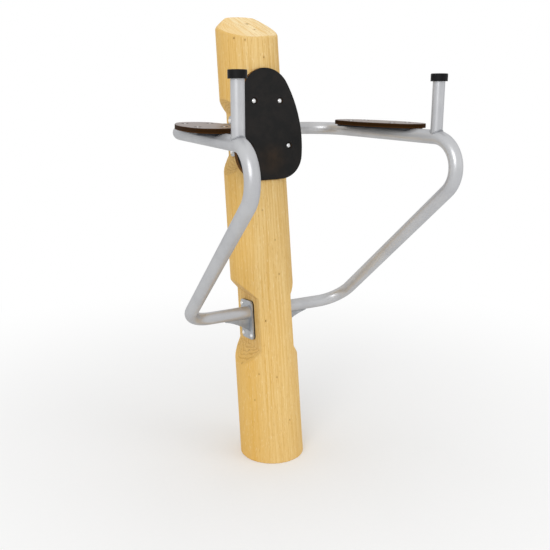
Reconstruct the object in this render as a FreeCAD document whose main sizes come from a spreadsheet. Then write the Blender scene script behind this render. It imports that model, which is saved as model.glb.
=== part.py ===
import FreeCAD, Part
import math
import os
import Sketcher
from FreeCAD import Placement, Rotation, Vector

# Outdoor dip station: a leaning log post with a back pad, and on each side a bent tube frame
# that carries an arm pad and an upright grip. Millimetres and degrees.
# The origin is on the ground at the post's axis, +Z is up and the user stands on the -Y side.

sizes = {
    # post
    "post_lean": 6.8,
    "post_foot_radius": 112.5,
    "post_top_radius": 104,
    "post_top_rise": 347,
    "top_offset": 0,
    "top_cut_angle": 26.9,
    "top_side_angle": -5.4,
    "top_bevel": 3,
    "left_hewn_offset": -88.4,
    "left_hewn_cut_angle": 2.7,
    "left_hewn_side_angle": -34.5,
    "right_hewn_offset": 76.5,
    "right_hewn_cut_angle": 30.3,
    "right_hewn_side_angle": 10.3,
    "trim_margin": 100,
    # side notches, whose flat cheeks carry the flanges
    "cheek_offset": 57,
    "cheek_toe": 4,
    "notch_reach": 90,
    "notch_upper_slope": 45,
    "notch_lower_slope": 40,
    "notch_edge_margin": 1,
    "lower_notch_height": 180,
    # flanges
    "flange_width": 96,
    "flange_height": 136,
    "flange_thickness": 5,
    "flange_corner": 15,
    "packing_thickness": 4,
    "flange_hole_pitch": 70,
    "flange_hole_rise": 106,
    "lower_flange_drop": 32,
    "upper_flange_drop": 20,
    # coach screws in the flanges
    "coach_shank_radius": 4,
    "coach_head_radius": 7.5,
    "coach_head_height": 5.5,
    "coach_bite": 38,
    "screw_clearance": 0.2,
    # tube frames
    "tube_radius": 21.2,
    "tube_wall": 3.2,
    "rear_bend_radius": 120,
    "bend_radius": 90,
    "arm_height": 1135,
    "arm_half_span": 299,
    "arm_toe": 3.4,
    "arm_fall": 1,
    "arm_reach": 782,
    "brace_height": 518,
    "brace_half_span": 304.7,
    "brace_forward": 22,
    "gusset_length": 95,
    "gusset_drop": 80,
    "gusset_thickness": 6,
    "gusset_nose": 3,
    "gusset_curve": 220,
    # grips
    "handle_radius": 18,
    "handle_wall": 2.6,
    "handle_setback": 230,
    "handle_rise": 170,
    "cap_radius": 25,
    "cap_height": 22,
    "cap_crown": 4,
    "cap_round": 2.5,
    "cap_clearance": 0.15,
    # arm pads
    "arm_pad_setback": 487,
    "arm_pad_inset": 5,
    "arm_pad_splay": 8,
    "arm_pad_length": 352,
    "arm_pad_width": 155,
    "arm_pad_end_radius": 58,
    "arm_pad_thickness": 13.5,
    "arm_pad_round": 2,
    "bracket_length": 312,
    "bracket_width": 100,
    "bracket_thickness": 6,
    "bracket_corner": 30,
    "bracket_setback": 0.1,
    "arm_pad_gap": 0.1,
    "arm_screw_pitch": 176,
    "arm_screw_rise": 75,
    # back pad
    "back_pad_drop": 165,
    "back_pad_height": 360,
    "back_pad_top_radius": 88,
    "back_pad_side_radius": 398,
    "back_pad_corner_radius": 85,
    "back_pad_corner_offset": 36.4,
    "back_pad_thickness": 21,
    "back_pad_round": 2,
    "seat_offset": 97,
    "seat_clearance": 0.5,
    "seat_reach": 60,
    "pad_screw_offset": 48,
    "pad_screw_rise": 255,
    "pad_screw_bite": 45,
    "pad_bolt_offset": 72,
    "pad_bolt_rise": 109,
    # let-in bar behind the back pad
    "bar_length": 190,
    "bar_height": 40,
    "bar_thickness": 6,
    "bar_clearance": 0.3,
    "bar_screw_offset": 28,
    "bar_screw_head": 8,
    "bar_screw_sink": 4,
    "bar_screw_bite": 40,
    # domed machine screws, used in every pad
    "pad_head_radius": 7.5,
    "pad_head_height": 4.5,
    "pad_shank_radius": 4,
    "recess_radius": 11,
    "recess_depth": 4,
    "nut_radius": 7.5,
    "nut_height": 6.5,
}

doc = FreeCAD.newDocument("DipStation")
sheet = doc.addObject("Spreadsheet::Sheet", "Sizes")
for row, (alias, number) in enumerate(sizes.items(), start=1):
    sheet.set("A%d" % row, alias)
    sheet.set("B%d" % row, str(number))
    sheet.setAlias("B%d" % row, alias)
doc.recompute()

nodes = []
sides = {"left": -1, "right": 1}
up = Vector(0, 0, 1)


def keep(item):
    nodes.append(item)
    return item


def make(kind, name, placement=None, **bound):
    item = doc.addObject(kind, name)
    for name_of_size, expression in bound.items():
        item.setExpression(name_of_size, expression)
    if placement:
        item.Placement = placement
    return item


def cut(name, base, *tools):
    for number, tool in enumerate(tools, start=1):
        last = number == len(tools)
        step = doc.addObject("Part::Cut", name if last else "%s_cut%d" % (name, number))
        step.Base = base
        step.Tool = tool
        base = step
    return base


def fuse(name, base, tool):
    item = doc.addObject("Part::Fuse", name)
    item.Base = base
    item.Tool = tool
    return item


def copies(name, master, placements):
    doc.recompute()
    group = doc.addObject("Part::Feature", name)
    group.Shape = Part.makeCompound([master.Shape.transformed(place.toMatrix()) for place in placements])
    return group


def shifted(x, y, z):
    return Placement(Vector(x, y, z), Rotation())


def turned(axis, angle):
    return Placement(Vector(0, 0, 0), Rotation(axis, angle))


def dimension(sketch, expression, *terms):
    index = sketch.addConstraint(Sketcher.Constraint(*terms))
    sketch.setExpression("Constraints[%d]" % index, expression)


def place_point(sketch, geometry, point, axis, value, expression):
    # A distance is always positive, so the order of its ends tells the side of the origin.
    ends = (-1, 1, geometry, point) if value > 0 else (geometry, point, -1, 1)
    dimension(sketch, expression, axis, *ends, abs(value))


def new_body(name, placement):
    body = doc.addObject("PartDesign::Body", name)
    body.Placement = placement
    return body


def new_sketch(body, name, lift=None):
    sketch = body.newObject("Sketcher::SketchObject", name)
    plane = next(item for item in body.Origin.OriginFeatures if item.Role == "XY_Plane")
    sketch.AttachmentSupport = (plane, [""])
    sketch.MapMode = "FlatFace"
    if lift:
        sketch.setExpression("AttachmentOffset.Base.z", lift)
    return sketch


def pad_sketch(body, name, sketch, length, midplane=False):
    feature = body.newObject("PartDesign::Pad", name)
    feature.Profile = sketch
    feature.Midplane = midplane
    feature.setExpression("Length", length)
    doc.recompute()
    return feature


def pocket_sketch(body, name, sketch, depth):
    feature = body.newObject("PartDesign::Pocket", name)
    feature.Profile = sketch
    feature.setExpression("Length", depth)
    doc.recompute()
    return feature


def round_edges(body, name, feature, radius, chosen):
    fillet = body.newObject("PartDesign::Fillet", name)
    wanted = ["Edge%d" % number for number, edge in enumerate(feature.Shape.Edges, start=1) if chosen(edge)]
    fillet.Base = (feature, wanted)
    fillet.setExpression("Radius", radius)
    doc.recompute()
    return fillet


def is_upright(edge):
    start, end = edge.firstVertex().Point, edge.lastVertex().Point
    return abs(start.x - end.x) + abs(start.y - end.y) < 1e-6


def lies_at(height):
    return lambda edge: max(abs(edge.BoundBox.ZMin - height), abs(edge.BoundBox.ZMax - height)) < 1e-6


def add_hole(sketch, x, y, radius, x_expression, y_expression, radius_expression):
    circle = sketch.addGeometry(Part.Circle(Vector(x, y, 0), up, radius))
    dimension(sketch, radius_expression, "Radius", circle, radius)
    place_point(sketch, circle, 3, "DistanceX", x, x_expression)
    place_point(sketch, circle, 3, "DistanceY", y, y_expression)


def add_rectangle(sketch, width, height):
    x, y = sizes[width] / 2, sizes[height] / 2
    corners = [Vector(-x, -y, 0), Vector(x, -y, 0), Vector(x, y, 0), Vector(-x, y, 0)]
    for index, corner in enumerate(corners):
        sketch.addGeometry(Part.LineSegment(corner, corners[(index + 1) % 4]))
    for index in range(4):
        sketch.addConstraint(Sketcher.Constraint("Coincident", index, 2, (index + 1) % 4, 1))
        sketch.addConstraint(Sketcher.Constraint("Vertical" if index % 2 else "Horizontal", index))
    sketch.addConstraint(Sketcher.Constraint("Symmetric", 0, 1, 2, 1, -1, 1))
    dimension(sketch, "Sizes." + width, "DistanceX", 0, 1, 0, 2, 2 * x)
    dimension(sketch, "Sizes." + height, "DistanceY", 1, 1, 1, 2, 2 * y)


def add_arc(sketch, centre, radius, start, end):
    circle = Part.Circle(centre, up, radius)
    return sketch.addGeometry(Part.ArcOfCircle(circle, start, end))


def join_smoothly(sketch, pieces):
    for index, piece in enumerate(pieces):
        following = pieces[(index + 1) % len(pieces)]
        sketch.addConstraint(Sketcher.Constraint("Tangent", piece, 2, following, 1))


def bearing(start, end):
    return math.atan2(end.y - start.y, end.x - start.x)


# Frames that place the pieces

lean = math.radians(sizes["post_lean"])
toe = math.radians(sizes["cheek_toe"])
arm_toe = math.radians(sizes["arm_toe"])
arm_fall = math.radians(sizes["arm_fall"])
splay = math.radians(sizes["arm_pad_splay"])
post_frame = turned(Vector(1, 0, 0), -sizes["post_lean"])
flange_face = sizes["packing_thickness"] + sizes["flange_thickness"]
bracket_depth = sizes["bracket_setback"] + sizes["bracket_thickness"]
flange_levels = {"lower": sizes["brace_height"] - sizes["lower_flange_drop"],
                 "upper": sizes["arm_height"] - sizes["upper_flange_drop"]}
handle_along = sizes["arm_reach"] - sizes["handle_setback"]
handle_top = sizes["arm_height"] + sizes["handle_rise"]
post_length = sizes["arm_height"] + sizes["post_top_rise"]
post_length_expression = "(Sizes.arm_height + Sizes.post_top_rise)"
# Heights along the post's axis.
back_pad_foot = sizes["arm_height"] - sizes["back_pad_drop"]
pad_heights = {kind: back_pad_foot + sizes[kind + "_rise"] for kind in ("pad_screw", "pad_bolt")}
# The trimming blocks reach well beyond the log.
trim_reach = 4 * sizes["post_foot_radius"]
trim_reach_expression = "4 * Sizes.post_foot_radius"


def axis_point(height):
    return Vector(0, height * math.tan(lean), height)


def cheek_normal(side):
    return Vector(side * math.cos(toe), math.sin(toe), 0)


def flange_frame(side, level):
    # Local Z points out of the cheek and local Y leans back with the post.
    normal = cheek_normal(side)
    backward = Vector(-side * math.sin(toe), math.cos(toe), 0)
    rise = up * math.cos(lean) + backward * math.sin(lean)
    base = axis_point(flange_levels[level]) + normal * sizes["cheek_offset"]
    return Placement(base, Rotation(rise.cross(normal), rise, normal, "ZYX"))


def arm_axes(side):
    forward = Vector(side * math.sin(arm_toe) * math.cos(arm_fall),
                     -math.cos(arm_toe) * math.cos(arm_fall), -math.sin(arm_fall))
    outward = Vector(side * math.cos(arm_toe), math.sin(arm_toe), 0)
    rise = forward.cross(outward) * side
    return forward, outward, rise


def arm_corner(side):
    return Vector(side * sizes["arm_half_span"], axis_point(sizes["arm_height"]).y, sizes["arm_height"])


def arm_point(side, along):
    return arm_corner(side) + arm_axes(side)[0] * along


def brace_corner(side):
    depth = axis_point(sizes["brace_height"]).y - sizes["brace_forward"]
    return Vector(side * sizes["brace_half_span"], depth, sizes["brace_height"])


def arm_pad_frame(side, lift):
    # Local X runs to the front of the pad and local Z is square to the arm, from the tube's top.
    forward, outward, rise = arm_axes(side)
    along = forward * math.cos(splay) + outward * math.sin(splay)
    base = arm_point(side, sizes["arm_reach"] - sizes["arm_pad_setback"]) - outward * sizes["arm_pad_inset"]
    base += rise * (sizes["tube_radius"] + lift)
    return Placement(base, Rotation(along, rise.cross(along), rise, "ZXY"))


def back_pad_frame(height, lift):
    # Local Y runs up the post and local Z points to the user.
    face = post_frame.multVec(Vector(0, -sizes["seat_offset"] - lift, height))
    return Placement(face, post_frame.Rotation.multiply(Rotation(Vector(1, 0, 0), 90)))


# Screws, drawn once with the underside of the head at the origin

def domed_screw(name, kind, length_expression, length):
    # The head is a slice of a ball, as wide as the head at its flat underside.
    radius, height = sizes[kind + "_head_radius"], sizes[kind + "_head_height"]
    ball = "((Sizes.%s_head_radius ^ 2 + Sizes.%s_head_height ^ 2)" % (kind, kind)
    ball += " / (2 * Sizes.%s_head_height))" % kind
    ball_radius = (radius ** 2 + height ** 2) / (2 * height)
    head = make("Part::Sphere", name + "_head", shifted(0, 0, height - ball_radius), Radius=ball,
                Angle1="asin(1 - Sizes.%s_head_height / %s)" % (kind, ball))
    shank = make("Part::Cylinder", name + "_shank", shifted(0, 0, -length),
                 Radius="Sizes.%s_shank_radius" % kind, Height=length_expression)
    return fuse(name + "_pattern", head, shank)


def coach_screw():
    return domed_screw("coach_screw", "coach",
                       "Sizes.flange_thickness + Sizes.packing_thickness + Sizes.coach_bite",
                       flange_face + sizes["coach_bite"])


def flange_spots(side, level):
    # A hole that the tube's end would cover is left out.
    half_pitch, half_rise = sizes["flange_hole_pitch"] / 2, sizes["flange_hole_rise"] / 2
    corner = arm_corner(side) if level == "upper" else brace_corner(side)
    end = Vector(side * (sizes["cheek_offset"] + flange_face), corner.y, corner.z)
    entry = flange_frame(side, level).inverse().multVec(end)
    room = sizes["tube_radius"] + sizes["coach_head_radius"] + sizes["screw_clearance"]
    return [(x, y) for x in (-half_pitch, half_pitch) for y in (-half_rise, half_rise)
            if math.hypot(x - entry.x, y - entry.y) > room]


def flange_screw_places(side, level, lift):
    frame = flange_frame(side, level)
    return [frame.multiply(shifted(x, y, lift)) for x, y in flange_spots(side, level)]


# Post

leaning_flange_height = ("(Sizes.flange_height - 2 * Sizes.flange_corner) * cos(Sizes.post_lean)"
                         " + (Sizes.flange_width - 2 * Sizes.flange_corner) * sin(Sizes.post_lean)"
                         " + 2 * Sizes.flange_corner + 2 * Sizes.notch_edge_margin")
notch_heights = {"lower": "Sizes.lower_notch_height", "upper": leaning_flange_height}


def notch_cutter(level, side_name):
    # Local Y points out of the cheek, so the cheek is the wedge's near face.
    normal = cheek_normal(sides[side_name])
    frame = Placement(axis_point(flange_levels[level]), Rotation(normal.cross(up), normal, up, "ZYX"))
    half = "(%s) / 2" % notch_heights[level]
    top = "%s + Sizes.notch_reach / tan(Sizes.notch_upper_slope)" % half
    bottom = "-%s - Sizes.notch_reach / tan(Sizes.notch_lower_slope)" % half
    return make("Part::Wedge", "%s_%s_notch" % (side_name, level), frame,
                Xmin="-" + trim_reach_expression, Xmax=trim_reach_expression,
                X2min="-" + trim_reach_expression, X2max=trim_reach_expression,
                Ymin="Sizes.cheek_offset", Ymax="Sizes.cheek_offset + Sizes.notch_reach",
                Zmin="-" + half, Zmax=half, Z2min=bottom, Z2max=top)


def trim_block(name, placement):
    block = placement.multiply(shifted(-trim_reach, -trim_reach, 0))
    side = "2 * " + trim_reach_expression
    return make("Part::Box", name, block, Length=side, Width=side, Height=trim_reach_expression)


def screw_hole(name, radius, depth, places):
    drill = make("Part::Cylinder", name + "_drill", Radius=radius + " + Sizes.screw_clearance",
                 Height=depth + " + Sizes.screw_clearance")
    return copies(name, drill, places)


def make_post():
    taper = ("(Sizes.post_foot_radius - Sizes.post_top_radius) / %s * Sizes.trim_margin"
             % post_length_expression)
    log = make("Part::Cone", "post_log", post_frame.multiply(shifted(0, 0, -sizes["trim_margin"])),
               Radius1="Sizes.post_foot_radius + " + taper, Radius2="Sizes.post_top_radius - " + taper,
               Height=post_length_expression + " + 2 * Sizes.trim_margin")
    ground = trim_block("post_ground", turned(Vector(1, 0, 0), 180))
    top_cuts = []
    for kind in ("top", "left_hewn", "right_hewn"):
        place = post_frame.multiply(shifted(sizes[kind + "_offset"], 0, post_length))
        place = place.multiply(turned(Vector(1, 0, 0), sizes[kind + "_cut_angle"]))
        place = place.multiply(turned(Vector(0, 1, 0), sizes[kind + "_side_angle"]))
        top_cuts.append(trim_block("post_%s_cut" % kind, place))
    trimmed = cut("post_trimmed", log, ground, *top_cuts)
    doc.recompute()

    bevelled = doc.addObject("Part::Chamfer", "post_bevelled")
    bevelled.Base = trimmed
    lowest_rim = post_length / 2
    bevelled.Edges = [(number, sizes["top_bevel"], sizes["top_bevel"])
                      for number, edge in enumerate(trimmed.Shape.Edges, start=1)
                      if edge.BoundBox.ZMin > lowest_rim and edge.Curve.TypeId != "Part::GeomLine"]

    seat = new_body("post_seat", back_pad_frame(back_pad_foot, 0))
    seat_outline = new_sketch(seat, "post_seat_outline")
    add_back_outline(seat_outline, sizes["seat_clearance"], " + Sizes.seat_clearance")
    pad_sketch(seat, "post_seat_depth", seat_outline, "Sizes.seat_reach")
    groove_depth = sizes["bar_thickness"] + sizes["bar_clearance"]
    groove_height = sizes["bar_height"] + 2 * sizes["bar_clearance"]
    groove_corner = shifted(-trim_reach, -sizes["seat_offset"] - trim_reach + groove_depth,
                            pad_heights["pad_bolt"] - groove_height / 2)
    groove = make("Part::Box", "post_groove", post_frame.multiply(groove_corner),
                  Length="2 * " + trim_reach_expression, Width=trim_reach_expression,
                  Height="Sizes.bar_height + 2 * Sizes.bar_clearance")
    notches = [notch_cutter(level, name) for level in flange_levels for name in sides]

    coach_depth = -sizes["coach_bite"] - sizes["screw_clearance"]
    coach_places = [place for side in sides.values() for level in flange_levels
                    for place in flange_screw_places(side, level, coach_depth)]
    coach_holes = screw_hole("post_coach_holes", "Sizes.coach_shank_radius", "Sizes.coach_bite", coach_places)
    pad_depth = -sizes["pad_screw_bite"] - sizes["screw_clearance"]
    pad_places = [back_pad_frame(pad_heights["pad_screw"], pad_depth).multiply(shifted(x, 0, 0))
                  for x in (-sizes["pad_screw_offset"], sizes["pad_screw_offset"])]
    pad_holes = screw_hole("post_pad_holes", "Sizes.pad_shank_radius", "Sizes.pad_screw_bite", pad_places)
    bar_depth = -sizes["bar_thickness"] - sizes["bar_screw_bite"] - sizes["screw_clearance"]
    bar_places = [back_pad_frame(pad_heights["pad_bolt"], bar_depth).multiply(shifted(x, 0, 0))
                  for x in (-sizes["bar_screw_offset"], sizes["bar_screw_offset"])]
    bar_holes = screw_hole("post_bar_holes", "Sizes.pad_shank_radius", "Sizes.bar_screw_bite", bar_places)
    keep(cut("post", bevelled, *notches, seat, groove, coach_holes, pad_holes, bar_holes))


# Flanges with their packing and coach screws

def flange_plate(name, placement, thickness, spots):
    body = new_body(name, placement)
    sketch = new_sketch(body, name + "_outline")
    add_rectangle(sketch, "flange_width", "flange_height")
    radius = sizes["coach_shank_radius"] + sizes["screw_clearance"]
    for x, y in spots:
        add_hole(sketch, x, y, radius, "Sizes.flange_hole_pitch / 2", "Sizes.flange_hole_rise / 2",
                 "Sizes.coach_shank_radius + Sizes.screw_clearance")
    plate = pad_sketch(body, name + "_plate", sketch, "Sizes." + thickness)
    round_edges(body, name + "_corners", plate, "Sizes.flange_corner",
                lambda edge: is_upright(edge) and edge.Curve.TypeId == "Part::GeomLine"
                and abs(abs(edge.firstVertex().Point.x) - sizes["flange_width"] / 2) < 1e-6)
    keep(body)


def make_flanges(screw):
    for side_name, side in sides.items():
        for level in flange_levels:
            frame, spots = flange_frame(side, level), flange_spots(side, level)
            flange_plate("%s_%s_packing" % (side_name, level), frame, "packing_thickness", spots)
            plate_place = frame.multiply(shifted(0, 0, sizes["packing_thickness"]))
            flange_plate("%s_%s_flange" % (side_name, level), plate_place, "flange_thickness", spots)
            keep(copies("%s_%s_flange_screws" % (side_name, level), screw,
                        flange_screw_places(side, level, flange_face)))


# Tube frames

def bent_route(name, corners, radii):
    # Straight runs joined by arcs that touch them, one bend at each inner corner.
    edges = []
    start = corners[0]
    for before, corner, after, radius in zip(corners, corners[1:], corners[2:], radii):
        arriving = (before - corner).normalize()
        leaving = (after - corner).normalize()
        half_angle = arriving.getAngle(leaving) / 2
        setback = radius / math.tan(half_angle)
        middle = (arriving + leaving).normalize()
        apex = corner + middle * (radius / math.sin(half_angle) - radius)
        entry, leave = corner + arriving * setback, corner + leaving * setback
        edges.append(Part.LineSegment(start, entry).toShape())
        edges.append(Part.Arc(entry, apex, leave).toShape())
        start = leave
    edges.append(Part.LineSegment(start, corners[-1]).toShape())
    route = doc.addObject("Part::Feature", name)
    route.Shape = Part.Wire(edges)
    return route


def swept(name, route, radius, place):
    section = make("Part::Circle", name + "_section", place, Radius=radius)
    sweep = doc.addObject("Part::Sweep", name)
    sweep.Sections = [section]
    sweep.Spine = (route, ["Edge%d" % number for number in range(1, len(route.Shape.Edges) + 1)])
    sweep.Solid = True
    sweep.Frenet = False
    return sweep


def flange_trim(name, side, level):
    # Everything behind the flange's outer face.
    frame = flange_frame(side, level)
    corner = shifted(-sizes["flange_width"], -sizes["flange_height"], flange_face - sizes["cheek_offset"])
    return make("Part::Box", name, frame.multiply(corner), Length="2 * Sizes.flange_width",
                Width="2 * Sizes.flange_height", Height="Sizes.cheek_offset")


def make_gusset(name, side, tube, trim):
    # Local X runs out along the brace and local Y is up, from the brace's axis at the post.
    corner = brace_corner(side)
    base = Vector(0, corner.y, corner.z)
    along = Vector(side, 0, 0)
    body = new_body(name + "_plate", Placement(base, Rotation(along, up, along.cross(up), "ZYX")))
    sketch = new_sketch(body, name + "_outline")
    inner = sizes["cheek_offset"]
    outer = inner + flange_face + sizes["gusset_length"]
    low = -sizes["gusset_drop"]
    nose = -sizes["tube_radius"] - sizes["gusset_nose"]
    points = [Vector(inner, low, 0), Vector(inner, 0, 0), Vector(outer, 0, 0), Vector(outer, nose, 0)]
    for start, end in zip(points, points[1:]):
        sketch.addGeometry(Part.LineSegment(start, end))
    chord = points[0] - points[3]
    height = math.sqrt(sizes["gusset_curve"] ** 2 - (chord.Length / 2) ** 2)
    centre = (points[0] + points[3]) / 2 + Vector(-chord.y, chord.x, 0).normalize() * height
    curve = add_arc(sketch, centre, sizes["gusset_curve"],
                    bearing(centre, points[3]), bearing(centre, points[0]))
    for index in range(2):
        sketch.addConstraint(Sketcher.Constraint("Coincident", index, 2, index + 1, 1))
    sketch.addConstraint(Sketcher.Constraint("Coincident", 2, 2, curve, 1))
    sketch.addConstraint(Sketcher.Constraint("Coincident", curve, 2, 0, 1))
    sketch.addConstraint(Sketcher.Constraint("Vertical", 0))
    sketch.addConstraint(Sketcher.Constraint("PointOnObject", 0, 2, -1))
    sketch.addConstraint(Sketcher.Constraint("Horizontal", 1))
    sketch.addConstraint(Sketcher.Constraint("Vertical", 2))
    outer_expression = ("Sizes.cheek_offset + Sizes.packing_thickness + Sizes.flange_thickness"
                        " + Sizes.gusset_length")
    place_point(sketch, 0, 1, "DistanceX", inner, "Sizes.cheek_offset")
    place_point(sketch, 0, 1, "DistanceY", low, "Sizes.gusset_drop")
    place_point(sketch, 2, 2, "DistanceX", outer, outer_expression)
    place_point(sketch, 2, 2, "DistanceY", nose, "Sizes.tube_radius + Sizes.gusset_nose")
    dimension(sketch, "Sizes.gusset_curve", "Radius", curve, sizes["gusset_curve"])
    pad_sketch(body, name + "_pad", sketch, "Sizes.gusset_thickness", midplane=True)
    keep(cut(name, body, tube, trim))


def make_handle(side_name, side, tube):
    base = arm_point(side, handle_along)
    height = "Sizes.handle_rise + (Sizes.arm_reach - Sizes.handle_setback) * sin(Sizes.arm_fall)"
    place = Placement(base, Rotation())
    outer = make("Part::Cylinder", side_name + "_handle_rod", place,
                 Radius="Sizes.handle_radius", Height=height)
    inner = make("Part::Cylinder", side_name + "_handle_bore", place,
                 Radius="Sizes.handle_radius - Sizes.handle_wall", Height=height)
    keep(cut(side_name + "_handle_tube", outer, inner, tube))

    cover = sizes["cap_height"] - sizes["cap_crown"]
    cap_place = Placement(Vector(base.x, base.y, handle_top - cover), Rotation())
    cap = new_body(side_name + "_handle_cap", cap_place)
    shell = cap.newObject("PartDesign::AdditiveCylinder", side_name + "_cap_shell")
    shell.setExpression("Radius", "Sizes.cap_radius")
    shell.setExpression("Height", "Sizes.cap_height")
    doc.recompute()
    round_edges(cap, side_name + "_cap_rim", shell, "Sizes.cap_round", lies_at(sizes["cap_height"]))
    bore = cap.newObject("PartDesign::SubtractiveCylinder", side_name + "_cap_bore")
    bore.setExpression("Radius", "Sizes.handle_radius + Sizes.cap_clearance")
    bore.setExpression("Height", "Sizes.cap_height - Sizes.cap_crown")
    keep(cap)


def make_frame(side_name, side):
    inner_end = sizes["cheek_offset"] - flange_face
    arm, brace = arm_corner(side), brace_corner(side)
    corners = [Vector(side * inner_end, arm.y, arm.z), arm, arm_point(side, sizes["arm_reach"]),
               brace, Vector(side * inner_end, brace.y, brace.z)]
    radii = [sizes["rear_bend_radius"], sizes["bend_radius"], sizes["bend_radius"]]
    route = bent_route(side_name + "_frame_route", corners, radii)
    section_place = Placement(corners[0], Rotation(up, Vector(1, 0, 0)))
    outside = swept(side_name + "_frame_outside", route, "Sizes.tube_radius", section_place)
    inside = swept(side_name + "_frame_inside", route, "Sizes.tube_radius - Sizes.tube_wall", section_place)
    upper_trim = flange_trim(side_name + "_upper_trim", side, "upper")
    lower_trim = flange_trim(side_name + "_lower_trim", side, "lower")
    keep(cut(side_name + "_frame_tube", outside, inside, upper_trim, lower_trim))
    make_gusset(side_name + "_lower_gusset", side, outside, lower_trim)
    make_handle(side_name, side, outside)
    return outside


# Arm pads on the brackets that are welded to both sides of the arm

def add_arm_holes(sketch, radius, radius_expression):
    half_pitch, half_rise = sizes["arm_screw_pitch"] / 2, sizes["arm_screw_rise"] / 2
    for x in (-half_pitch, half_pitch):
        for y in (-half_rise, half_rise):
            add_hole(sketch, x, y, radius, "Sizes.arm_screw_pitch / 2", "Sizes.arm_screw_rise / 2",
                     radius_expression)


def add_oval(sketch):
    # Two end arcs and two side arcs that touch each other.
    length, width, end = sizes["arm_pad_length"] / 2, sizes["arm_pad_width"] / 2, sizes["arm_pad_end_radius"]
    centre = length - end
    side = (centre ** 2 + width ** 2 - end ** 2) / (2 * (width - end))
    half = math.atan2(side - width, centre)
    pieces = [add_arc(sketch, Vector(centre, 0, 0), end, -half, half),
              add_arc(sketch, Vector(0, width - side, 0), side, half, math.pi - half),
              add_arc(sketch, Vector(-centre, 0, 0), end, math.pi - half, math.pi + half),
              add_arc(sketch, Vector(0, side - width, 0), side, math.pi + half, 2 * math.pi - half)]
    join_smoothly(sketch, pieces)
    centre_expression = "Sizes.arm_pad_length / 2 - Sizes.arm_pad_end_radius"
    side_expression = ("((%s) ^ 2 + (Sizes.arm_pad_width / 2) ^ 2 - Sizes.arm_pad_end_radius ^ 2)"
                       " / (Sizes.arm_pad_width - 2 * Sizes.arm_pad_end_radius)" % centre_expression)
    for piece, sign in ((pieces[0], 1), (pieces[2], -1)):
        sketch.addConstraint(Sketcher.Constraint("PointOnObject", piece, 3, -1))
        place_point(sketch, piece, 3, "DistanceX", sign * centre, centre_expression)
        dimension(sketch, "Sizes.arm_pad_end_radius", "Radius", piece, end)
    for piece in (pieces[1], pieces[3]):
        dimension(sketch, side_expression, "Radius", piece, side)


def make_arm_screw():
    length = sizes["arm_pad_thickness"] - sizes["recess_depth"] + sizes["arm_pad_gap"] + bracket_depth
    return domed_screw("arm_screw", "pad", "Sizes.arm_pad_thickness - Sizes.recess_depth + Sizes.arm_pad_gap"
                       " + Sizes.bracket_setback + Sizes.bracket_thickness", length)


def make_arm_pad(side_name, side, screw, tube):
    # The bracket plate lies just under the tube's top, so the tube parts it in two.
    plate = new_body(side_name + "_bracket_plate", arm_pad_frame(side, -bracket_depth))
    outline = new_sketch(plate, side_name + "_bracket_outline")
    add_rectangle(outline, "bracket_length", "bracket_width")
    tapped = sizes["pad_shank_radius"] + sizes["screw_clearance"]
    add_arm_holes(outline, tapped, "Sizes.pad_shank_radius + Sizes.screw_clearance")
    slab = pad_sketch(plate, side_name + "_bracket_slab", outline, "Sizes.bracket_thickness")
    round_edges(plate, side_name + "_bracket_corners", slab, "Sizes.bracket_corner",
                lambda edge: is_upright(edge) and edge.Curve.TypeId == "Part::GeomLine"
                and abs(abs(edge.firstVertex().Point.x) - sizes["bracket_length"] / 2) < 1e-6)
    keep(cut(side_name + "_arm_pad_brackets", plate, tube))

    pad = new_body(side_name + "_arm_pad", arm_pad_frame(side, sizes["arm_pad_gap"]))
    oval = new_sketch(pad, side_name + "_arm_pad_outline")
    add_oval(oval)
    board = pad_sketch(pad, side_name + "_arm_pad_board", oval, "Sizes.arm_pad_thickness")
    round_edges(pad, side_name + "_arm_pad_edge", board, "Sizes.arm_pad_round",
                lies_at(sizes["arm_pad_thickness"]))
    holes = new_sketch(pad, side_name + "_arm_pad_holes", "Sizes.arm_pad_thickness")
    add_arm_holes(holes, tapped, "Sizes.pad_shank_radius + Sizes.screw_clearance")
    pocket_sketch(pad, side_name + "_arm_pad_bores", holes, "Sizes.arm_pad_thickness")
    recesses = new_sketch(pad, side_name + "_arm_pad_recess_rings", "Sizes.arm_pad_thickness")
    add_arm_holes(recesses, sizes["recess_radius"], "Sizes.recess_radius")
    pocket_sketch(pad, side_name + "_arm_pad_recesses", recesses, "Sizes.recess_depth")
    keep(pad)

    seat = sizes["arm_pad_gap"] + sizes["arm_pad_thickness"] - sizes["recess_depth"]
    half_pitch, half_rise = sizes["arm_screw_pitch"] / 2, sizes["arm_screw_rise"] / 2
    places = [arm_pad_frame(side, seat).multiply(shifted(x, y, 0)) for x in (-half_pitch, half_pitch)
              for y in (-half_rise, half_rise)]
    keep(copies(side_name + "_arm_pad_screws", screw, places))


# Back pad with its let-in bar

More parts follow.
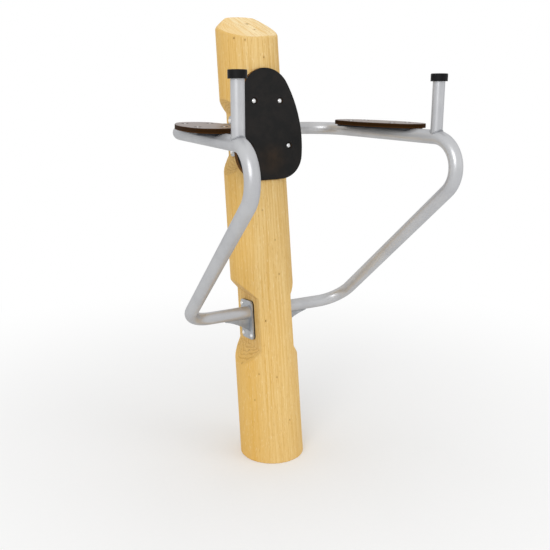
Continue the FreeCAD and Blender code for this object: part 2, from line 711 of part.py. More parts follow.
def add_back_outline(sketch, grown=0, grown_expression=""):
    # Drawn from the pad's foot: a top arc, long side arcs, corner arcs and a straight foot.
    # A grown outline keeps the arcs' centres and adds to their radii.
    top = Vector(0, sizes["back_pad_height"] - sizes["back_pad_top_radius"], 0)
    corner = Vector(sizes["back_pad_corner_offset"], sizes["back_pad_corner_radius"], 0)
    top_radius = sizes["back_pad_top_radius"] + grown
    side_radius = sizes["back_pad_side_radius"] + grown
    corner_radius = sizes["back_pad_corner_radius"] + grown
    # The side arc's centre is known by its distances to the top and corner centres.
    span = (top - corner).Length
    to_top, to_corner = side_radius - top_radius, side_radius - corner_radius
    reach = (to_corner ** 2 - to_top ** 2 + span ** 2) / (2 * span)
    height = math.sqrt(to_corner ** 2 - reach ** 2)
    toward = (top - corner).normalize()
    side = corner + toward * reach + Vector(-toward.y, toward.x, 0) * height
    low, high = bearing(side, corner), bearing(side, top)
    mirrored_corner, mirrored_side = Vector(-corner.x, corner.y, 0), Vector(-side.x, side.y, 0)
    pieces = [
        add_arc(sketch, corner, corner_radius, -math.pi / 2, low),
        add_arc(sketch, side, side_radius, low, high),
        add_arc(sketch, top, top_radius, high, math.pi - high),
        add_arc(sketch, mirrored_side, side_radius, math.pi - high, math.pi - low),
        add_arc(sketch, mirrored_corner, corner_radius, math.pi - low, 3 * math.pi / 2),
        sketch.addGeometry(Part.LineSegment(Vector(-corner.x, -grown, 0), Vector(corner.x, -grown, 0))),
    ]
    join_smoothly(sketch, pieces)
    sketch.addConstraint(Sketcher.Constraint("PointOnObject", pieces[2], 3, -2))
    place_point(sketch, pieces[2], 3, "DistanceY", top.y, "Sizes.back_pad_height - Sizes.back_pad_top_radius")
    dimension(sketch, "Sizes.back_pad_top_radius" + grown_expression, "Radius", pieces[2], top_radius)
    for piece, sign in ((pieces[0], 1), (pieces[4], -1)):
        place_point(sketch, piece, 3, "DistanceX", sign * corner.x, "Sizes.back_pad_corner_offset")
        place_point(sketch, piece, 3, "DistanceY", corner.y, "Sizes.back_pad_corner_radius")
        dimension(sketch, "Sizes.back_pad_corner_radius" + grown_expression, "Radius", piece, corner_radius)
    for piece in (pieces[1], pieces[3]):
        dimension(sketch, "Sizes.back_pad_side_radius" + grown_expression, "Radius", piece, side_radius)


def add_back_holes(sketch, radius, radius_expression):
    for kind in ("pad_screw", "pad_bolt"):
        for sign in (-1, 1):
            add_hole(sketch, sign * sizes[kind + "_offset"], sizes[kind + "_rise"], radius,
                     "Sizes.%s_offset" % kind, "Sizes.%s_rise" % kind, radius_expression)


def make_back_pad():
    pad = new_body("back_pad", back_pad_frame(back_pad_foot, 0))
    outline = new_sketch(pad, "back_pad_outline")
    add_back_outline(outline)
    board = pad_sketch(pad, "back_pad_board", outline, "Sizes.back_pad_thickness")
    round_edges(pad, "back_pad_edge", board, "Sizes.back_pad_round", lies_at(sizes["back_pad_thickness"]))
    bore = sizes["pad_shank_radius"] + sizes["screw_clearance"]
    holes = new_sketch(pad, "back_pad_holes", "Sizes.back_pad_thickness")
    add_back_holes(holes, bore, "Sizes.pad_shank_radius + Sizes.screw_clearance")
    pocket_sketch(pad, "back_pad_bores", holes, "Sizes.back_pad_thickness")
    recesses = new_sketch(pad, "back_pad_recess_rings", "Sizes.back_pad_thickness")
    add_back_holes(recesses, sizes["recess_radius"], "Sizes.recess_radius")
    pocket_sketch(pad, "back_pad_recesses", recesses, "Sizes.recess_depth")
    keep(pad)

    seat = sizes["back_pad_thickness"] - sizes["recess_depth"]
    screw_length = "Sizes.back_pad_thickness - Sizes.recess_depth + Sizes.pad_screw_bite"
    screw = domed_screw("back_screw", "pad", screw_length, seat + sizes["pad_screw_bite"])
    frame = back_pad_frame(pad_heights["pad_screw"], seat)
    keep(copies("back_pad_screws", screw, [frame.multiply(shifted(sign * sizes["pad_screw_offset"], 0, 0))
                                           for sign in (-1, 1)]))
    bolt_length = ("Sizes.back_pad_thickness - Sizes.recess_depth + Sizes.bar_thickness"
                   " + Sizes.nut_height")
    bolt = domed_screw("back_bolt", "pad", bolt_length, seat + sizes["bar_thickness"] + sizes["nut_height"])
    frame = back_pad_frame(pad_heights["pad_bolt"], seat)
    keep(copies("back_pad_bolts", bolt, [frame.multiply(shifted(sign * sizes["pad_bolt_offset"], 0, 0))
                                         for sign in (-1, 1)]))


def make_back_bar():
    # The bar's front face is level with the seat.
    corner = shifted(-sizes["bar_length"] / 2, -sizes["bar_height"] / 2, -sizes["bar_thickness"])
    frame = back_pad_frame(pad_heights["pad_bolt"], 0)
    blank = make("Part::Box", "back_bar_blank", frame.multiply(corner), Length="Sizes.bar_length",
                 Width="Sizes.bar_height", Height="Sizes.bar_thickness")
    sink = make("Part::Cone", "bar_screw_head", shifted(0, 0, -sizes["bar_screw_sink"]),
                Radius1="Sizes.pad_shank_radius", Radius2="Sizes.bar_screw_head",
                Height="Sizes.bar_screw_sink")
    shank_length = sizes["bar_thickness"] + sizes["bar_screw_bite"]
    shank = make("Part::Cylinder", "bar_screw_shank", shifted(0, 0, -shank_length),
                 Radius="Sizes.pad_shank_radius", Height="Sizes.bar_thickness + Sizes.bar_screw_bite")
    screw = fuse("bar_screw_pattern", sink, shank)
    screw_places = [frame.multiply(shifted(sign * sizes["bar_screw_offset"], 0, 0)) for sign in (-1, 1)]
    screws = copies("back_pad_bar_screws", screw, screw_places)
    bolt_ends = [frame.multiply(shifted(sign * sizes["pad_bolt_offset"], 0, -sizes["bar_thickness"]))
                 for sign in (-1, 1)]
    bolt_holes = screw_hole("back_bar_holes", "Sizes.pad_shank_radius", "Sizes.bar_thickness", bolt_ends)
    keep(cut("back_pad_bar", blank, screws, bolt_holes))
    keep(screws)

    hexagon = make("Part::Prism", "back_nut_blank", Circumradius="Sizes.nut_radius",
                   Height="Sizes.nut_height")
    thread = make("Part::Cylinder", "back_nut_bore", Radius="Sizes.pad_shank_radius + Sizes.screw_clearance",
                  Height="Sizes.nut_height")
    nut = cut("back_nut_pattern", hexagon, thread)
    nut_places = [place.multiply(shifted(0, 0, -sizes["nut_height"])) for place in bolt_ends]
    keep(copies("back_pad_nuts", nut, nut_places))


def check_and_export():
    doc.recompute()
    for item in doc.Objects:
        if "Invalid" in item.State or "Error" in item.State:
            raise RuntimeError("%s did not build: %s" % (item.Name, item.State))
    os.makedirs("parts", exist_ok=True)
    for node in nodes:
        if node.Shape.isNull() or not node.Shape.isValid():
            raise RuntimeError("%s has no valid shape" % node.Label)
        node.Shape.exportStep("parts/%s.step" % node.Label)
    print("pieces:", len(nodes))


make_post()
make_flanges(coach_screw())
arm_screw = make_arm_screw()
for side_name, side in sides.items():
    tube = make_frame(side_name, side)
    make_arm_pad(side_name, side, arm_screw, tube)
make_back_pad()
make_back_bar()
check_and_export()
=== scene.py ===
import math

import bmesh
import bpy
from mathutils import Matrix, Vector, noise


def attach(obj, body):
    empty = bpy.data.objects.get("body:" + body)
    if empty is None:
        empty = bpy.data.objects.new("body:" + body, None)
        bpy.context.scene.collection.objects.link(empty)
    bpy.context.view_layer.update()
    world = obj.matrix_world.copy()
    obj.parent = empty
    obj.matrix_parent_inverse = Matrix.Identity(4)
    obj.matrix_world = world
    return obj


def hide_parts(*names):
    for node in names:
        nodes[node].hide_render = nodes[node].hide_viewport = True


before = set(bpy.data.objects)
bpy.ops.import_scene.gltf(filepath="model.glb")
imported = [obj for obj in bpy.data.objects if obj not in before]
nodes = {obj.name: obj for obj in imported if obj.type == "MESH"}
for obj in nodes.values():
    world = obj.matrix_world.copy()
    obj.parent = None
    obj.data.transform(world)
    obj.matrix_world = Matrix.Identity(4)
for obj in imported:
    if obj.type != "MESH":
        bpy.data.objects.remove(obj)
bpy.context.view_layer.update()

scene = bpy.context.scene
sides = {"left": -1, "right": 1}

# metres; X to the right of someone facing the back pad, Y to the back, Z up, origin on the ground
layout = {
    "lean": 6.8,             # the post leans back, degrees
    "seatOffset": 0.097,     # post axis to the back pad's rear face
    "armHeight": 1.135,
    "armHalfSpan": 0.299,
    "armToe": 3.4,
    "armFall": 1.0,
    "armPadAlong": 0.295,
    "braceHeight": 0.518,
    "braceForward": 0.022,
    "tubeRadius": 0.0212,
    "gripRadius": 0.018,
    "gripAlong": 0.552,
    "cheekOffset": 0.057,
    "cheekToe": 4.0,
    "flangeFace": 0.009,     # packing and plate together
    "bracketDepth": 0.0061,  # tube top down to the bracket's underside
    "bracketHalf": 0.146,
    "gussetHalf": 0.003,
    "gussetLength": 0.092,
}

lean = math.radians(layout["lean"])
logAxis = Vector((0, math.sin(lean), math.cos(lean)))
padNormal = Vector((0, -math.cos(lean), math.sin(lean)))


def axisPoint(height):
    return Vector((0, height * math.tan(lean), height))


def armAxes(side):
    toe, fall = math.radians(layout["armToe"]), math.radians(layout["armFall"])
    level = Vector((side * math.sin(toe), -math.cos(toe), 0))
    forward = level * math.cos(fall) - Vector((0, 0, math.sin(fall)))
    outward = Vector((side * math.cos(toe), math.sin(toe), 0))
    return forward, outward, forward.cross(outward) * side


def armPoint(side, along):
    corner = Vector((side * layout["armHalfSpan"], axisPoint(layout["armHeight"]).y, layout["armHeight"]))
    return corner + armAxes(side)[0] * along


def bracePoint(side, x):
    depth = axisPoint(layout["braceHeight"]).y - layout["braceForward"]
    return Vector((side * x, depth, layout["braceHeight"]))


def cheekNormal(side):
    toe = math.radians(layout["cheekToe"])
    return Vector((side * math.cos(toe), math.sin(toe), 0))


print("layout ready,", len(nodes), "cad nodes")


# node helpers

mixInputs = (0, 6, 7)   # a mix node's factor and its two colours
mixResult = 2
white = (1.0, 1.0, 1.0, 1.0)


class Graph:
    def __init__(self, tree):
        self.tree = tree

    def node(self, kind, **settings):
        made = self.tree.nodes.new("ShaderNode" + kind)
        made.location = (170 * len(self.tree.nodes), 0)
        for name, value in settings.items():
            setattr(made, name, value)
        return made

    def feed(self, socket, value):
        if isinstance(value, bpy.types.NodeSocket):
            self.tree.links.new(value, socket)
        else:
            socket.default_value = value

    def math(self, operation, *values):
        made = self.node("Math", operation=operation)
        for socket, value in zip(made.inputs, values):
            self.feed(socket, value)
        return made.outputs[0]

    def vector(self, operation, *values):
        made = self.node("VectorMath", operation=operation)
        for socket, value in zip(made.inputs, values):
            self.feed(socket, value)
        return made.outputs["Value" if operation in ("DOT_PRODUCT", "LENGTH", "DISTANCE") else "Vector"]

    def remap(self, value, low, high, newLow=0.0, newHigh=1.0):
        made = self.node("MapRange", interpolation_type="SMOOTHSTEP")
        for socket, item in zip(made.inputs, (value, low, high, newLow, newHigh)):
            self.feed(socket, item)
        return made.outputs[0]

    def blend(self, factor, first, second):
        made = self.node("Mix", data_type="RGBA")
        for index, value in zip(mixInputs, (factor, first, second)):
            self.feed(made.inputs[index], value)
        return made.outputs[mixResult]

    def spread(self, value, reach, rest):
        # the value's swing about its middle, times the reach, on top of the rest
        return self.math("MULTIPLY_ADD", self.math("SUBTRACT", value, 0.5), reach, rest)

    def gloss(self, value, span, roughness):
        return self.math("MULTIPLY_ADD", value, span, roughness - span / 2)

    def noise(self, vector, stretch, detail=3.0, roughness=0.55):
        made = self.node("TexNoise")
        self.feed(made.inputs["Vector"], self.vector("MULTIPLY", vector, stretch))
        made.inputs["Scale"].default_value = 1.0
        made.inputs["Detail"].default_value = detail
        made.inputs["Roughness"].default_value = roughness
        return made.outputs[0]

    def place(self, group, values):
        made = self.node("Group", node_tree=group)
        for label, value in values.items():
            self.feed(made.inputs[label], value)
        return made.outputs


def newGroup(name, inputs, outputs):
    group = bpy.data.node_groups.new(name, "ShaderNodeTree")
    for label, kind in inputs.items():
        group.interface.new_socket(label, in_out="INPUT", socket_type="NodeSocket" + kind)
    for label, kind in outputs.items():
        group.interface.new_socket(label, in_out="OUTPUT", socket_type="NodeSocket" + kind)
    entry = group.nodes.new("NodeGroupInput")
    leave = group.nodes.new("NodeGroupOutput")
    return group, Graph(group), entry.outputs, leave.inputs


def newMaterial(name):
    material = bpy.data.materials.new(name)
    material.use_nodes = True
    tree = material.node_tree
    graph = Graph(tree)
    shader = tree.nodes["Principled BSDF"]
    place = graph.node("TexCoord").outputs["Object"]
    return material, graph, shader, place


def addBump(graph, shader, height, strength, distance):
    bump = graph.node("Bump")
    bump.inputs["Strength"].default_value = strength
    bump.inputs["Distance"].default_value = distance
    graph.feed(bump.inputs["Height"], height)
    graph.feed(shader.inputs["Normal"], bump.outputs[0])
    return bump


def rgb(red, green, blue):
    def linear(value):
        share = value / 255
        return share / 12.92 if share <= 0.04045 else ((share + 0.055) / 1.055) ** 2.4
    return (linear(red), linear(green), linear(blue), 1.0)


# shared effects

logPattern = {
    # repeats per metre across and along the log, detail, roughness
    "slow": ((13, 13, 3.5), 2.0),
    "rough": ((60, 60, 16), 3.0),
    "fibre": ((260, 260, 2.8), 4.0, 0.7),
    "pore": ((420, 420, 52), 2.0, 0.5),
    "tone": ((34, 34, 1.3), 3.0, 0.6),
    "saw": ((170, 9, 9), 4.0, 0.65),
    "wander": 1.7,
    "wanderReach": (0.03, 0.03, 0),
    "slowReach": 0.034,
    "roughReach": 0.012,
    "lateStart": (0.45, 0.88),
    "lateEnd": (0.88, 1.0, 1.0, 0.0),
}


def makeLogGrain():
    # growth rings about the log's axis, fibres along it and slow changes of tone
    group, g, entry, leave = newGroup(
        "logGrain",
        {"Vector": "Vector", "Ring Gap": "Float", "Bulge": "Float"},
        dict.fromkeys(("Ring", "Fibre", "Pore", "Tone", "Saw", "Reach"), "Float"))
    look, place = logPattern, entry["Vector"]
    along = g.vector("MULTIPLY", place, (0, 0, 1))
    wander = g.node("TexNoise")
    g.feed(wander.inputs["Vector"], along)
    wander.inputs["Scale"].default_value = look["wander"]
    swing = g.vector("SUBTRACT", wander.outputs[1], (0.5, 0.5, 0.5))
    offset = g.vector("MULTIPLY", swing, look["wanderReach"])
    across = g.vector("MULTIPLY", g.vector("ADD", place, offset), (1, 1, 0))
    reach = g.spread(g.noise(place, *look["slow"]), look["slowReach"], g.vector("LENGTH", across))
    reach = g.spread(g.noise(place, *look["rough"]), look["roughReach"], reach)
    reach = g.math("ADD", reach, entry["Bulge"])
    phase = g.math("FRACT", g.math("DIVIDE", reach, entry["Ring Gap"]))
    late = g.math("MULTIPLY", g.remap(phase, *look["lateStart"]), g.remap(phase, *look["lateEnd"]))
    g.feed(leave["Ring"], late)
    for label in ("Fibre", "Pore", "Tone", "Saw"):
        g.feed(leave[label], g.noise(place, *look[label.lower()]))
    g.feed(leave["Reach"], g.vector("LENGTH", g.vector("MULTIPLY", place, (1, 1, 0))))
    return group


knotPattern = {
    "ragged": ((420, 420, 260), 2.0),
    "raggedShare": (0.7, 0.65),
    "stretch": (1, 1, 0.72),
    # distance in knot sizes where each part fades out
    "core": (0.35, 1.1, 1.0, 0.0),
    "halo": (0.8, 3.2, 1.0, 0.0),
    "bulge": (0.0, 5.0, 1.0, 0.0),
}


def makePinKnot():
    # one small round knot: its core, its halo and how far it pushes the rings aside
    group, g, entry, leave = newGroup(
        "pinKnot",
        {"Vector": "Vector", "Spot": "Vector", "Size": "Float"},
        {"Core": "Float", "Halo": "Float", "Bulge": "Float"})
    look = knotPattern
    ragged = g.math("MULTIPLY_ADD", g.noise(entry["Vector"], *look["ragged"]), *look["raggedShare"])
    apart = g.vector("MULTIPLY", g.vector("SUBTRACT", entry["Vector"], entry["Spot"]), look["stretch"])
    share = g.math("DIVIDE", g.vector("LENGTH", apart), g.math("MULTIPLY", entry["Size"], ragged))
    g.feed(leave["Core"], g.remap(share, *look["core"]))
    g.feed(leave["Halo"], g.remap(share, *look["halo"]))
    g.feed(leave["Bulge"], g.math("MULTIPLY", g.remap(share, *look["bulge"]), entry["Size"]))
    return group


mottlePattern = {
    "cloud": ((0.12, 0.12, 0.12), 3.0, 0.6),
    "speckle": ((3, 3, 3), 2.0, 0.7),
    "streak": ((0.5, 0.09, 1.6), 4.0, 0.7),
    "rub": (0.57, 0.68),
}


def makeMottle():
    # soft blotches, fine speckle and thin rubbed lines for films, paint, zinc and rubber
    group, g, entry, leave = newGroup(
        "mottle",
        {"Vector": "Vector", "Grain": "Float"},
        {"Cloud": "Float", "Speckle": "Float", "Rub": "Float"})
    place = g.vector("SCALE", entry["Vector"])
    g.feed(place.node.inputs["Scale"], entry["Grain"])
    g.feed(leave["Cloud"], g.noise(place, *mottlePattern["cloud"]))
    g.feed(leave["Speckle"], g.noise(place, *mottlePattern["speckle"]))
    streak = g.noise(place, *mottlePattern["streak"])
    g.feed(leave["Rub"], g.remap(streak, *mottlePattern["rub"]))
    return group


plyPattern = {
    "ragged": ((90, 90, 90), 2.0),
    "raggedReach": 0.0006,
    "fibre": ((340, 340, 900), 3.0),
    "fibreShare": 0.5,
    "oddShare": 0.6,     # every other veneer is lighter
    "glueLine": (0.36, 0.48),
}


def makePlyLayers():
    # veneers seen on a cut edge, counted from the board's rear face
    group, g, entry, leave = newGroup(
        "plyLayers",
        {"Depth": "Float", "Veneer": "Float", "Vector": "Vector"},
        {"Veneer": "Float", "Glue": "Float"})
    look = plyPattern
    uneven = g.noise(entry["Vector"], *look["ragged"])
    ragged = g.math("MULTIPLY_ADD", uneven, look["raggedReach"], entry["Depth"])
    count = g.math("DIVIDE", ragged, entry["Veneer"])
    odd = g.math("GREATER_THAN", g.math("FRACT", g.math("MULTIPLY", count, 0.5)), 0.5)
    fibre = g.noise(entry["Vector"], *look["fibre"])
    lighter = g.math("MULTIPLY", odd, look["oddShare"])
    g.feed(leave["Veneer"], g.math("MULTIPLY_ADD", fibre, look["fibreShare"], lighter))
    line = g.math("ABSOLUTE", g.math("SUBTRACT", g.math("FRACT", count), 0.5))
    g.feed(leave["Glue"], g.remap(line, *look["glueLine"]))
    return group


edgePattern = {
    "samples": 6,
    "turned": (0.01, 0.2),
    "broken": ((120, 120, 120), 3.0, 0.7),
    "brokenRange": (0.3, 0.62),
}


def makeEdgeWearAndGlint():
    # where a bevelled normal leaves the true one there is an edge, which wear finds first; there the colour
    # is lightened, as wear and as a painted highlight
    group, g, entry, leave = newGroup(
        "edgeWearAndGlint", {"Vector": "Vector", "Width": "Float"}, {"Edge": "Float", "Normal": "Vector"})
    look = edgePattern
    bevel = g.node("Bevel", samples=look["samples"])
    g.feed(bevel.inputs["Radius"], entry["Width"])
    flat = g.node("NewGeometry").outputs["Normal"]
    turned = g.math("SUBTRACT", 1.0, g.vector("DOT_PRODUCT", bevel.outputs[0], flat))
    broken = g.remap(g.noise(entry["Vector"], *look["broken"]), *look["brokenRange"])
    g.feed(leave["Edge"], g.math("MULTIPLY", g.remap(turned, *look["turned"]), broken))
    g.feed(leave["Normal"], bevel.outputs[0])
    return group


logGrain = makeLogGrain()
pinKnot = makePinKnot()
mottle = makeMottle()
plyLayers = makePlyLayers()
edgeWearAndGlint = makeEdgeWearAndGlint()
print("shared node groups ready")


# post timber

postTimber = {
    "light": rgb(238, 207, 145),
    "dark": rgb(218, 174, 97),
    "pale": rgb(247, 226, 180),
    "late": rgb(190, 138, 60),
    "endLight": rgb(253, 233, 188),
    "endDark": rgb(238, 201, 134),
    "paintedFacetShade": rgb(243, 206, 138),
    "facetShadeLine": (0.165, -0.031),   # slope and place of the line left of which the top was hewn once more; left of it the top cut gets painted shade
    "paintedShadeTint": rgb(230, 181, 90),   # painted warm shade, laid on the left side and on the lower post
    "knot": rgb(126, 90, 48),
    "halo": rgb(206, 160, 88),
    "ringGap": 0.009,
    "skin": (0.098, 0.103),   # deeper than this the cuts show the rings
    # low and high of a pattern, then what is mixed in at each
    "fibreRange": (0.33, 0.69),
    "sideShadeRange": (0.045, 0.1, 0.0, 0.5),
    "footShadeRange": (0.1, 1.1, 0.22, 0.0),
    "ringShares": (0.55, 0.05),
    "darkFleck": (0.62, 0.74, 0.0, 0.55),
    "paleFleck": (0.26, 0.4, 0.6, 0.0),
    "toneRange": (0.42, 0.68, 0.0, 0.18),
    "creaseShadeRange": (0.46, 0.495, 0.7, 0.0),
    "endRange": (0.76, 0.86),
    "sawRange": (0.42, 0.62),
    "facetShadeRange": (-0.004, 0.004, 0.6, 0.0),
    "endRing": 0.2,
    "endShare": 0.9,
    "haloShare": 0.4,
    "roughness": 0.62,
    "glossSpan": 0.16,
    "specular": 0.1,
    "fibreHeight": 0.6,
    "poreHeight": 0.4,
    "knotDepth": 0.8,
    "bump": (0.35, 0.0006),
    "voxel": 0.0024,
    "smoothing": 2,
    "smoothingShare": 0.5,
    "waviness": 0.0005,
    "waves": (14, 14, 4),
    # height along the log, bearing round it in degrees, distance from its axis, size
    "knots": [
        (0.651, -84, 0.109, 0.0023), (0.496, -115, 0.109, 0.0026), (0.311, -133, 0.110, 0.0018),
        (0.296, -101, 0.110, 0.0021), (1.365, -88, 0.105, 0.0022), (1.429, -141, 0.104, 0.0026),
        (1.420, -121, 0.104, 0.0022), (0.871, -109, 0.107, 0.0016), (0.768, -88, 0.108, 0.0016),
        (0.134, -80, 0.111, 0.0020), (0.218, -144, 0.111, 0.0017), (0.560, 60, 0.109, 0.0034),
        (0.980, 110, 0.107, 0.0038), (1.230, 35, 0.106, 0.0028), (0.240, 150, 0.111, 0.0030),
        (0.790, 165, 0.108, 0.0026), (1.120, 80, 0.106, 0.0024), (0.420, 95, 0.110, 0.0027),
        (1.495, 54, 0.028, 0.0050), (1.466, -69, 0.037, 0.0034), (1.430, -141, 0.092, 0.0030),
        (0.342, -172, 0.106, 0.0024), (0.382, -173, 0.072, 0.0022), (0.386, 134, 0.100, 0.0022),
    ],
}


def logSpot(height, bearing, reach):
    turn = math.radians(bearing)
    return (reach * math.cos(turn), reach * math.sin(turn), height)


def makePostMaterial():
    look = postTimber
    material, g, shader, place = newMaterial("postTimber")
    upright = g.node("Mapping", vector_type="POINT")
    upright.inputs["Rotation"].default_value = (lean, 0, 0)
    g.feed(upright.inputs["Vector"], place)
    logPlace = upright.outputs[0]
    core, halo, bulge = 0.0, 0.0, 0.0
    for height, bearing, reach, size in look["knots"]:
        knot = g.place(pinKnot, {"Vector": logPlace, "Spot": logSpot(height, bearing, reach), "Size": size})
        core = g.math("MAXIMUM", knot["Core"], core)
        halo = g.math("MAXIMUM", knot["Halo"], halo)
        bulge = g.math("ADD", knot["Bulge"], bulge)
    grain = g.place(logGrain, {"Vector": logPlace, "Ring Gap": look["ringGap"], "Bulge": bulge})
    colour = g.blend(g.remap(grain["Fibre"], *look["fibreRange"]), look["light"], look["dark"])
    # painted shade: the left side and the lower post are blended towards a deeper, warmer colour
    paintedSideShade = g.remap(g.vector("DOT_PRODUCT", logPlace, (-1, 0, 0)), *look["sideShadeRange"])
    foot = g.remap(g.vector("DOT_PRODUCT", logPlace, (0, 0, 1)), *look["footShadeRange"])
    colour = g.blend(g.math("ADD", paintedSideShade, foot), colour, look["paintedShadeTint"])
    ringShare = g.remap(grain["Reach"], *look["skin"], *look["ringShares"])
    colour = g.blend(g.math("MULTIPLY", grain["Ring"], ringShare), colour, look["late"])
    colour = g.blend(g.remap(grain["Pore"], *look["darkFleck"]), colour, look["late"])
    colour = g.blend(g.remap(grain["Pore"], *look["paleFleck"]), colour, look["pale"])
    colour = g.blend(g.remap(grain["Tone"], *look["toneRange"]), colour, look["light"])
    surface = g.node("NewGeometry").outputs
    # painted shade: concave creases and notch corners are darkened towards the late-wood colour
    paintedCreaseShade = g.remap(surface["Pointiness"], *look["creaseShadeRange"])
    colour = g.blend(paintedCreaseShade, colour, look["late"])
    facing = g.vector("DOT_PRODUCT", surface["Normal"], tuple(logAxis))
    endFace = g.remap(facing, *look["endRange"])
    endColour = g.blend(g.remap(grain["Saw"], *look["sawRange"]), look["endLight"], look["endDark"])
    # painted shade: left of this line the top cut turns deeper and more saturated, standing in for the hewn
    # facet's shading
    slope, start = look["facetShadeLine"]
    beyond = g.math("SUBTRACT", g.vector("DOT_PRODUCT", logPlace, (1, -slope, 0)), start)
    endColour = g.blend(g.remap(beyond, *look["facetShadeRange"]), endColour, look["paintedFacetShade"])
    endColour = g.blend(g.math("MULTIPLY", grain["Ring"], look["endRing"]), endColour, look["late"])
    colour = g.blend(g.math("MULTIPLY", endFace, look["endShare"]), colour, endColour)
    colour = g.blend(g.math("MULTIPLY", halo, look["haloShare"]), colour, look["halo"])
    colour = g.blend(core, colour, look["knot"])
    g.feed(shader.inputs["Base Color"], colour)
    shader.inputs["Specular IOR Level"].default_value = look["specular"]
    g.feed(shader.inputs["Roughness"], g.gloss(grain["Fibre"], look["glossSpan"], look["roughness"]))
    height = g.math("ADD", g.math("MULTIPLY", grain["Fibre"], look["fibreHeight"]),
                    g.math("MULTIPLY", grain["Pore"], look["poreHeight"]))
    height = g.math("SUBTRACT", height, g.math("MULTIPLY", core, look["knotDepth"]))
    addBump(g, shader, height, *look["bump"])
    return material


def makePost(material):
    # the sawn solid with its arrises taken off, as sanding leaves them
    look = postTimber
    rough = bpy.data.objects.new("postRough", nodes["post"].data.copy())
    scene.collection.objects.link(rough)
    remesh = rough.modifiers.new("remesh", "REMESH")
    remesh.mode = "VOXEL"
    remesh.voxel_size = look["voxel"]
    smooth = rough.modifiers.new("smooth", "SMOOTH")
    smooth.factor = look["smoothingShare"]
    smooth.iterations = look["smoothing"]
    depsgraph = bpy.context.evaluated_depsgraph_get()
    mesh = bpy.data.meshes.new_from_object(rough.evaluated_get(depsgraph))
    bpy.data.objects.remove(rough)
    mesh.name = "postTimber"
    moved = []
    for vertex in mesh.vertices:
        swell = noise.noise(vertex.co * Vector(look["waves"]))
        place = vertex.co + vertex.normal * (swell * look["waviness"])
        moved += [place.x, place.y, max(place.z, 0.0)]
    mesh.vertices.foreach_set("co", moved)
    mesh.materials.clear()
    mesh.materials.append(material)
    mesh.polygons.foreach_set("use_smooth", [True] * len(mesh.polygons))
    post = bpy.data.objects.new("postTimber", mesh)
    scene.collection.objects.link(post)
    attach(post, "root")
    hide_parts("post")
    return post


post = makePost(makePostMaterial())
print("post ready,", len(post.data.vertices), "vertices")


# boards

backBoard = {
    "film": rgb(29, 29, 29),
    "warmFilm": rgb(36, 34, 33),
    "rubbed": rgb(54, 52, 51),
    "wearAndSheen": rgb(60, 46, 33),
    "wearAndSheenReach": 0.075,
    "wearAndSheenCentre": Vector((0.004, 0.006, 1.04)),
    "veneerLight": rgb(150, 108, 62),
    "veneerDark": rgb(88, 58, 32),
    "glue": rgb(30, 21, 14),
    "veneer": 0.0015,
    "thickness": 0.021,
    "sealAndShadeRim": 0.0028,        # depth of the dark rim next to the front face: edge seal, and painted shade on the screw recess walls
    "roughness": 0.5,
    "specular": 0.04,
    "filmCoat": 0.14,
}

armBoard = {
    "film": rgb(114, 100, 95),
    "warmFilm": rgb(100, 84, 78),
    "rubbed": rgb(164, 154, 151),
    "wearAndSheen": rgb(130, 112, 100),
    "wearAndSheenReach": 0.1,
    "veneerLight": rgb(92, 56, 18),
    "veneerDark": rgb(30, 19, 9),
    "glue": rgb(14, 10, 6),
    "veneer": 0.0015,
    "thickness": 0.0135,
    "sealAndShadeRim": 0.0012,
    "roughness": 0.42,
    "specular": 0.03,
    "filmCoat": 0.6,
}


boardPattern = {
    "grain": 260.0,
    "faceRange": (0.55, 0.85),
    "outerRange": (0.26, 0.42),     # from the board's middle, in thicknesses
    "outerShare": (0.75, 0.35),
    "glueShare": 0.8,
    "rimBlur": 0.0003,
    "filmRange": (0.35, 0.7),
    "wearAndSheenShare": 0.9,
    "rubShare": 0.16,
    "speckleRange": (0.6, 0.75, 0.0, 0.12),
    "glossSpan": 0.12,
    "edgeGloss": 0.25,
    "speckleHeight": 0.3,
    "bump": (0.3, 0.0004),
}


